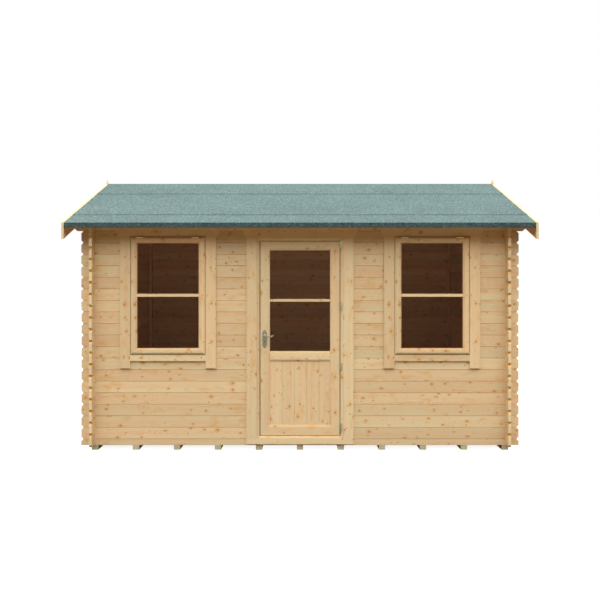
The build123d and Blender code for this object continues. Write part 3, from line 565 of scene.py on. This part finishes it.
def disc(bm, centre, normal, radii, height, segments):
    """Low cone, of (foot, top) radii, standing on a surface; returns its top face."""
    matrix = facing(centre, normal) @ Matrix.Translation((0, 0, height / 2))
    made = bmesh.ops.create_cone(bm, cap_ends=True, cap_tris=False, segments=segments, radius1=radii[0],
                                 radius2=radii[1], depth=height, matrix=matrix)["verts"]
    caps = {face for vert in made for face in vert.link_faces if len(face.verts) == segments}
    return max(caps, key=lambda face: face.calc_center_median().dot(Vector(normal)))


def screw_head(bm, centre, normal, radius):
    """Countersunk screw head, set almost flush, with a sunk drive."""
    top = disc(bm, centre, normal, (radius, 0.88 * radius), SCREW_PROUD, 10)
    bmesh.ops.inset_individual(bm, faces=[top], thickness=0.45 * radius, depth=-0.7 * SCREW_PROUD)


def nail_head(bm, centre, normal, radius):
    """Flat nail head with a chamfered rim."""
    disc(bm, centre, normal, (radius, 0.7 * radius), NAIL_PROUD, 6)


def dome(bm, centre, normal, radius, height):
    """Domed cap on the end of a hinge barrel."""
    matrix = facing(centre, normal) @ Matrix.Diagonal((1, 1, height / radius, 1))
    bmesh.ops.create_uvsphere(bm, u_segments=16, v_segments=8, radius=radius, matrix=matrix)


def turned_ring(bm, centre, inner, outer, height):
    """Ring turned about an axis along Y, with a rounded outer arris; height is signed along Y."""
    x, y, z = centre
    profile = ((inner, 0), (outer, 0), (outer, 0.2 * height), (0.95 * outer, 0.5 * height),
               (0.86 * outer, 0.76 * height), (0.76 * outer, 0.92 * height), (inner, height))
    verts = [bm.verts.new((x + radius, y + rise, z)) for radius, rise in profile]
    edges = [bm.edges.new((vert, verts[(index + 1) % len(verts)])) for index, vert in enumerate(verts)]
    bmesh.ops.spin(bm, geom=verts + edges, cent=centre, axis=(0, 1, 0), dvec=(0, 0, 0), angle=2 * math.pi,
                   steps=28, use_merge=True)


def bead(bm, rectangle, width, near, far):
    """Mitred glazing bead inside a rectangle of (left, bottom, right, top), rounded towards the pane."""
    left, bottom, right, top = rectangle
    upright = Matrix.Rotation(math.radians(90), 4, "X") @ Matrix.Diagonal((right - left, top - bottom, 1, 1))
    matrix = Matrix.Translation(((left + right) / 2, near, (bottom + top) / 2)) @ upright
    corner = bmesh.ops.create_grid(bm, x_segments=1, y_segments=1, size=0.5, matrix=matrix)["verts"][0]
    pane = corner.link_faces[0]
    inset = bmesh.ops.inset_region(bm, faces=[pane], thickness=width, use_boundary=True, use_even_offset=True)
    ring = inset["faces"]
    bmesh.ops.delete(bm, geom=[pane], context="FACES_KEEP_BOUNDARY")
    raised = bmesh.ops.extrude_face_region(bm, geom=ring)["geom"]
    raised = [item for item in raised if isinstance(item, bmesh.types.BMVert)]
    bmesh.ops.translate(bm, verts=raised, vec=(0, far - near, 0))

    def inner(place):
        """Whether a point is on the inner edge of the ring."""
        return min(place.x - left, right - place.x, place.z - bottom, top - place.z) > width / 2
    bevel_where(bm, raised, lambda start, end: inner(start) and inner(end), 0.75 * width, 3)


# ---- Floor and roof boards, one by one ----
HAIR = 0.05 * mm
floor_low, floor_high = BOXES["floor_boards"]
row_count = round((floor_high.y - floor_low.y) / FLOOR_BOARD_COVER)
# Each row is two boards that meet over a bearer, which is a different one in each row.
MEETING_BEARERS = (-2, 1, 3, -3, 0, 2, -1)
NAILED_BEARERS = range(-4, 5)
NAIL_ASIDE = 8 * mm  # clear of where two boards meet
FLOOR_NAIL = 2.6 * mm
bm = bmesh.new()
nails = bmesh.new()
for row in range(row_count):
    near = floor_low.y + row * FLOOR_BOARD_COVER
    far = min(near + FLOOR_BOARD_COVER, floor_high.y)
    meeting = MEETING_BEARERS[row % len(MEETING_BEARERS)] * BEARER_PITCH
    for left, right in ((floor_low.x, meeting), (meeting, floor_high.x)):
        low = (left + BOARD_GAP, near + BOARD_GAP, floor_low.z)
        high = (right - BOARD_GAP, far - BOARD_GAP, floor_high.z)
        made = block(bm, low, high)
        bevel_where(bm, made, lambda start, end: min(start.z, end.z) > floor_high.z - HAIR, 0.6 * V_JOINT)
    for bearer in NAILED_BEARERS:
        for part in (0.25, 0.75):
            centre = (bearer * BEARER_PITCH + NAIL_ASIDE, near + part * (far - near), floor_high.z)
            nail_head(nails, centre, (0, 0, 1), FLOOR_NAIL)
planks = make_piece("floor_planks", bm, floor_spruce, "cabin")
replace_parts(planks, "floor_boards")
make_piece("floor_nails", nails, galvanised, "cabin")

for side, sign in (("front", -1), ("back", 1)):
    name = "roof_boards_" + side
    low, high = BOXES[name]
    near = min(abs(low.y), abs(high.y))
    plumb = high.z - low.z - ROOF_RISE * (high.y - low.y)
    board_count = round((high.x - low.x) / ROOF_BOARD_COVER)
    cover = (high.x - low.x) / board_count
    bm = bmesh.new()
    for number in range(board_count):
        left = low.x + number * cover
        right = left + cover
        made = block(bm, (left + BOARD_GAP, low.y, -plumb / 2), (right - BOARD_GAP, high.y, plumb / 2))

        def under_edge(start, end):
            """Whether an edge runs down the slope on the board's underside."""
            return max(start.z, end.z) < 0 and abs(start.y - end.y) > cover
        bevel_where(bm, made, under_edge, V_JOINT)
    # Sheared, not turned, so that both ends stay plumb.
    slope = Matrix.Identity(4)
    slope[2][1] = -sign * ROOF_RISE
    slope[2][3] = high.z - plumb / 2 + ROOF_RISE * near
    bmesh.ops.transform(bm, matrix=slope, verts=bm.verts)
    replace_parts(make_piece("roof_planks_" + side, bm, roof_spruce, "cabin"), name)

# ---- Nails in the felt: clout nails along the laps and the eaves ----
LAP_NAIL_SPACING = 100 * mm
EDGE_IN = 22 * mm
LAP_NAIL_SEAT = 3.2 * mm  # over the strip's underside, square to the slope
LAP_NAIL = 5 * mm
EAVES_NAIL = 4 * mm
EAVES_NAIL_RISE = 14 * mm
felt_low, felt_high = BOXES["felt_ridge"]
nail_rows = []
for name in ("felt_ridge", "felt_middle_front"):
    lap_low = BOXES[name][0]
    run = -lap_low.y - EDGE_IN
    level = lap_low.z + LAP_NAIL_SEAT / COSINE + ROOF_RISE * EDGE_IN
    nail_rows.append((run, level))
bm = bmesh.new()
nail_count = int((felt_high.x - felt_low.x) / LAP_NAIL_SPACING)
for run, level in nail_rows:
    for sign in (-1, 1):
        for number in range(nail_count):
            across = felt_low.x + (number + 0.5) * (felt_high.x - felt_low.x) / nail_count
            nail_head(bm, (across, sign * run, level), (0, sign * SINE, COSINE), LAP_NAIL)
eaves_low = BOXES["felt_eaves_front"][0]
for sign in (-1, 1):
    for number in range(nail_count // 2):
        across = felt_low.x + (number + 0.5) * (felt_high.x - felt_low.x) / (nail_count // 2)
        centre = (across, sign * -eaves_low.y, eaves_low.z + EAVES_NAIL_RISE)
        nail_head(bm, centre, (0, sign, 0), EAVES_NAIL)
make_piece("felt_nails", bm, galvanised, "cabin")

# ---- Screws in the casings, the barge boards and the finials ----
TRIM_SCREW = 4 * mm
# Screws of a casing: the side boards' screws by level and distance from the middle, then those of the boards
# across, by level and distances.
WINDOW_SIDE_LEVELS = (0.83, 1.13, 1.43, 1.73, 2.01)
WINDOW_SIDE_AWAY = 413 * mm
WINDOW_HEAD_LEVEL = 2.113
WINDOW_HEAD_AWAY = (-400 * mm, -135 * mm, 135 * mm, 400 * mm)
WINDOW_SILL_LEVEL = 883 * mm
WINDOW_SILL_AWAY = (-270 * mm, 0, 270 * mm)
DOOR_SIDE_LEVELS = (0.14, 0.6, 1.06, 1.52, 1.98)
DOOR_SIDE_AWAY = 463 * mm
DOOR_HEAD_LEVEL = 2.1
DOOR_HEAD_AWAY = (-450 * mm, -150 * mm, 150 * mm, 450 * mm)
# Screws of a barge board: distances down its run, and two drops below its upper edge.
BARGE_BEGINS = 22.8 * mm  # run from the ridge to the board's upper end, beside the finial
BARGE_RUNS = (70 * mm, 700 * mm, 1150 * mm, 1560 * mm)
BARGE_DROPS = (45 * mm, 108 * mm)
FINIAL_LEVELS = (2.57, 2.67)
bm = bmesh.new()
front_face = BOXES["door_casing"][0].y
for side in ("left", "right"):
    centre = middle_of("window_casing_" + side, 0)
    for level in WINDOW_SIDE_LEVELS:
        for away in (-WINDOW_SIDE_AWAY, WINDOW_SIDE_AWAY):
            screw_head(bm, (centre + away, front_face, level), (0, -1, 0), TRIM_SCREW)
    for away in WINDOW_HEAD_AWAY:
        screw_head(bm, (centre + away, front_face, WINDOW_HEAD_LEVEL), (0, -1, 0), TRIM_SCREW)
    for away in WINDOW_SILL_AWAY:
        screw_head(bm, (centre + away, front_face, WINDOW_SILL_LEVEL), (0, -1, 0), TRIM_SCREW)
for level in DOOR_SIDE_LEVELS:
    for away in (-DOOR_SIDE_AWAY, DOOR_SIDE_AWAY):
        screw_head(bm, (away, front_face, level), (0, -1, 0), TRIM_SCREW)
for away in DOOR_HEAD_AWAY:
    screw_head(bm, (away, front_face, DOOR_HEAD_LEVEL), (0, -1, 0), TRIM_SCREW)
barge_high = BOXES["barge_boards_right"][1]
barge_start = barge_high.z + ROOF_RISE * BARGE_BEGINS
finial_face = BOXES["finial_right"][1].x
for sign in (-1, 1):
    for run in BARGE_RUNS:
        for drop in BARGE_DROPS:
            for slope in (-1, 1):
                level = barge_start - ROOF_RISE * run - drop
                screw_head(bm, (sign * barge_high.x, slope * run, level), (sign, 0, 0), TRIM_SCREW)
    for level in FINIAL_LEVELS:
        screw_head(bm, (sign * finial_face, 0, level), (sign, 0, 0), TRIM_SCREW)
make_piece("trim_screws", bm, yellow_zinc, "cabin")

# ---- Coach bolts in the wind braces ----
BRACE_THICKNESS = 27 * mm
BRACE_HALF_WIDTH = 22.5 * mm
BOLT_LEVELS = (0.25, 1.15, 2.05)
WASHER_RADII = (11 * mm, 10.6 * mm)
WASHER_THICKNESS = 1.6 * mm
BOLT_HEAD_RADII = (7.5 * mm, 7.0 * mm)
BOLT_HEAD_SEAT = 1.5 * mm
BOLT_HEAD_HEIGHT = 5 * mm
brace_high = BOXES["wind_braces"][1]
brace_face = brace_high.x - BRACE_THICKNESS
brace_run = brace_high.y - BRACE_HALF_WIDTH
bm = bmesh.new()
for side in (-1, 1):
    for end in (-1, 1):
        for level in BOLT_LEVELS:
            centre = Vector((side * brace_face, end * brace_run, level))
            inwards = Vector((-side, 0, 0))
            disc(bm, centre, inwards, WASHER_RADII, WASHER_THICKNESS, 20)
            disc(bm, centre + inwards * BOLT_HEAD_SEAT, inwards, BOLT_HEAD_RADII, BOLT_HEAD_HEIGHT, 6)
make_piece("brace_bolts", bm, yellow_zinc, "cabin")

# ---- Glazing beads on the inside of each pane ----
BEAD_WIDTH = 14 * mm
BEAD_PROUD = 7 * mm


def bead_pane(bm, pane, holder):
    """Bead round a pane, on the inner face of the sash or leaf that holds it."""
    low, high = BOXES[pane]
    rectangle = (low.x - BEAD_WIDTH, low.z - BEAD_WIDTH, high.x + BEAD_WIDTH, high.z + BEAD_WIDTH)
    inner_face = BOXES[holder][1].y
    bead(bm, rectangle, BEAD_WIDTH, inner_face + HAIR, inner_face + BEAD_PROUD)


bm = bmesh.new()
for side in ("left", "right"):
    bead_pane(bm, "window_glass_" + side, "window_sash_" + side)
make_piece("window_glazing_beads", bm, upright_spruce, "cabin")
bm = bmesh.new()
bead_pane(bm, "door_glass", "door_leaf")
make_piece("door_glazing_beads", bm, upright_spruce, "door")

# ---- Door hinges: caps on the barrels and screws in the plates ----
HINGE_LEVELS = (0.22, 0.8, 1.376, 1.967)
HINGE_HALF = 35 * mm
HINGE_RADIUS = 8 * mm
CAP_HEIGHT = 3 * mm
LEAF_PLATE_FACE = 382.8 * mm
JAMB_PLATE_FACE = 386.2 * mm
PLATE_SCREW_Y = -1.39
PLATE_SCREWS = (-25 * mm, 0, 25 * mm)
PLATE_SCREW = 3.2 * mm
WINDOW_HINGE_LENGTH = 65 * mm
hinge_low, hinge_high = BOXES["door_hinge_frame_halves"]
pin_x = hinge_high.x - HINGE_RADIUS
pin_y = hinge_low.y + HINGE_RADIUS
leaf_caps = bmesh.new()
frame_caps = bmesh.new()
for level in HINGE_LEVELS:
    dome(leaf_caps, (pin_x, pin_y, level + HINGE_HALF), (0, 0, 1), HINGE_RADIUS, CAP_HEIGHT)
    dome(frame_caps, (pin_x, pin_y, level - HINGE_HALF), (0, 0, -1), HINGE_RADIUS, CAP_HEIGHT)
    for away in PLATE_SCREWS:
        screw_head(leaf_caps, (LEAF_PLATE_FACE, PLATE_SCREW_Y, level + away), (1, 0, 0), PLATE_SCREW)
        screw_head(frame_caps, (JAMB_PLATE_FACE, PLATE_SCREW_Y, level + away), (-1, 0, 0), PLATE_SCREW)
make_piece("door_hinge_leaf_screws", leaf_caps, zinc, "door")
make_piece("door_hinge_frame_screws", frame_caps, zinc, "cabin")

bm = bmesh.new()
for side in ("left", "right"):
    low, high = BOXES["window_hinges_" + side]
    axis = ((low.y + high.y) / 2, (low.z + high.z) / 2)
    for start, end in ((low.x, low.x + WINDOW_HINGE_LENGTH), (high.x - WINDOW_HINGE_LENGTH, high.x)):
        dome(bm, (start, *axis), (-1, 0, 0), HINGE_RADIUS, CAP_HEIGHT)
        dome(bm, (end, *axis), (1, 0, 0), HINGE_RADIUS, CAP_HEIGHT)
make_piece("window_hinge_caps", bm, yellow_zinc, "cabin")

# ---- Door furniture: rosettes and screws on the plates, lock forend and strike plate ----
PLATE_X = -340 * mm
LEVER_LEVEL = 1.103
KEYHOLE_LEVEL = 1.04
ROSETTE_RADII = (9.4 * mm, 13.5 * mm)
ROSETTE_HEIGHT = 7 * mm
HANDLE_SCREW_AWAY = 70 * mm
HANDLE_SCREW = 3.4 * mm
KEYHOLE_SHADE_RADII = (10 * mm, 9.6 * mm)
KEYHOLE_SHADE_PROUD = 0.5 * mm
FOREND_PROUD = 1.2 * mm
FOREND_HALF_WIDTH = 10 * mm
FOREND_HALF_HEIGHT = 85 * mm
FOREND_ROUNDING = 9 * mm
FOREND_SCREW_AWAY = 73 * mm
LATCH_PROUD = 3 * mm
LATCH_HALF_WIDTH = 6 * mm
LATCH_HALF_HEIGHT = 12 * mm
LATCH_ROUNDING = 1.2 * mm
STRIKE_PROUD = 1.0 * mm
STRIKE_HALF_WIDTH = 11 * mm
STRIKE_HALF_HEIGHT = 60 * mm
STRIKE_ROUNDING = 3 * mm
STRIKE_SCREW_AWAY = 50 * mm
SUNK = 0.2 * mm  # how far a plate's back is let in
JAMB_FACE = -389 * mm
plate_low, plate_high = BOXES["door_handle_plates"]
plate_level = (plate_low.z + plate_high.z) / 2
bm = bmesh.new()
for face, outward in ((plate_low.y, -1), (plate_high.y, 1)):
    turned_ring(bm, (PLATE_X, face, LEVER_LEVEL), *ROSETTE_RADII, outward * ROSETTE_HEIGHT)
    for away in (-HANDLE_SCREW_AWAY, HANDLE_SCREW_AWAY):
        screw_head(bm, (PLATE_X, face, plate_level + away), (0, outward, 0), HANDLE_SCREW)
leaf_low, leaf_high = BOXES["door_leaf"]
leaf_middle = (leaf_low.y + leaf_high.y) / 2
# A dark disc on each face of the leaf behind the keyhole: painted shade for the depth of the keyhole.
keyhole_shade_disc = bmesh.new()
for face, outward in ((leaf_low.y, -1), (leaf_high.y, 1)):
    centre = Vector((PLATE_X, face, KEYHOLE_LEVEL))
    disc(keyhole_shade_disc, centre, Vector((0, outward, 0)), KEYHOLE_SHADE_RADII, KEYHOLE_SHADE_PROUD, 24)
keyhole_shade_finish = brushed_metal("keyhole_painted_shade_steel", "#4A4138", 0.6, (200, 200, 200))
make_piece("door_keyhole_painted_shade", keyhole_shade_disc, keyhole_shade_finish, "door")
forend_face = leaf_low.x - FOREND_PROUD
forend = block(bm, (forend_face, leaf_middle - FOREND_HALF_WIDTH, plate_level - FOREND_HALF_HEIGHT),
               (leaf_low.x + SUNK, leaf_middle + FOREND_HALF_WIDTH, plate_level + FOREND_HALF_HEIGHT))
bevel_where(bm, forend, lambda start, end: abs(start.x - end.x) > HAIR, FOREND_ROUNDING, 4)
latch = block(bm, (leaf_low.x - LATCH_PROUD, leaf_middle - LATCH_HALF_WIDTH, LEVER_LEVEL - LATCH_HALF_HEIGHT),
              (leaf_low.x, leaf_middle + LATCH_HALF_WIDTH, LEVER_LEVEL + LATCH_HALF_HEIGHT))
bevel_where(bm, latch, lambda start, end: max(start.x, end.x) < forend_face, LATCH_ROUNDING, 2)
for away in (-FOREND_SCREW_AWAY, FOREND_SCREW_AWAY):
    screw_head(bm, (forend_face, leaf_middle, plate_level + away), (-1, 0, 0), PLATE_SCREW)
make_piece("door_lock_furniture", bm, polished_nickel, "door")

bm = bmesh.new()
strike_face = JAMB_FACE + STRIKE_PROUD
strike = block(bm, (JAMB_FACE - SUNK, leaf_middle - STRIKE_HALF_WIDTH, plate_level - STRIKE_HALF_HEIGHT),
               (strike_face, leaf_middle + STRIKE_HALF_WIDTH, plate_level + STRIKE_HALF_HEIGHT))
bevel_where(bm, strike, lambda start, end: abs(start.x - end.x) > HAIR, STRIKE_ROUNDING, 3)
for away in (-STRIKE_SCREW_AWAY, STRIKE_SCREW_AWAY):
    screw_head(bm, (strike_face, leaf_middle, plate_level + away), (1, 0, 0), PLATE_SCREW)
make_piece("door_strike_plate", bm, nickel, "cabin")

# ---- Floor, light and camera ----
FLOOR_SIZE = 60.0

bm = bmesh.new()
bmesh.ops.create_grid(bm, x_segments=1, y_segments=1, size=FLOOR_SIZE / 2)
mesh = bpy.data.meshes.new("studio_floor")
bm.to_mesh(mesh)
bm.free()
floor = bpy.data.objects.new("studio_floor", mesh)
scene.collection.objects.link(floor)

# Pale seamless floor: seen nearly white with the cabin's shadow on it, and a warm grey to the light that it
# throws back.
material, tree, shader = new_material("pale_studio_floor", Roughness=0.9, Specular_IOR_Level=0.0)
path = add(tree, "LightPath")
camera_ray, transmission_ray = path.outputs["Is Camera Ray"], path.outputs["Is Transmission Ray"]
through = add(tree, "Math", camera_ray, transmission_ray, operation="MAXIMUM")
seen = add(tree, "Math", through, path.outputs["Is Glossy Ray"], operation="MAXIMUM")
floor_colour = add(tree, "Mix", seen, linear("#665644"), linear("#898989"), data_type="RGBA")
link(tree, floor_colour, shader, "Base Color")
shader.inputs["Emission Color"].default_value = WHITE
link(tree, add(tree, "Math", through, 0.92, operation="MULTIPLY"), shader, "Emission Strength")
mesh.materials.append(material)

# Soft sky from above and dark near the horizon, with a white background where it is seen.
world = bpy.data.worlds.new("studio")
world.use_nodes = True
scene.world = world
tree = world.node_tree
background = tree.nodes["Background"]
background.inputs["Color"].default_value = WHITE
up = add(tree, "SeparateXYZ", add(tree, "TexCoord").outputs["Generated"]).outputs["Z"]
sky = add(tree, "MapRange", up, 0.22, 0.62, 0.0, 2.95, interpolation_type="SMOOTHSTEP")
path = add(tree, "LightPath")
seen = add(tree, "Math", path.outputs["Is Camera Ray"], path.outputs["Is Glossy Ray"], operation="MAXIMUM")
seen = add(tree, "Math", seen, path.outputs["Is Transmission Ray"], operation="MAXIMUM")
link(tree, add(tree, "Mix", seen, sky, 1.0), background, "Strength")

sun = bpy.data.lights.new("overhead_softbox", "SUN")
sun.angle = math.radians(40)
sun.energy = 1.2
sun_object = bpy.data.objects.new("overhead_softbox", sun)
scene.collection.objects.link(sun_object)

camera_data = bpy.data.cameras.new("camera")
camera_data.lens = 43.8
camera_data.sensor_width = 36
camera_data.shift_y = -0.0418
camera = bpy.data.objects.new("camera", camera_data)
camera.location = (0, -8.422, 1.6817)
camera.rotation_euler = (math.radians(90), 0, 0)
scene.collection.objects.link(camera)
scene.camera = camera
scene.view_settings.view_transform = "Standard"
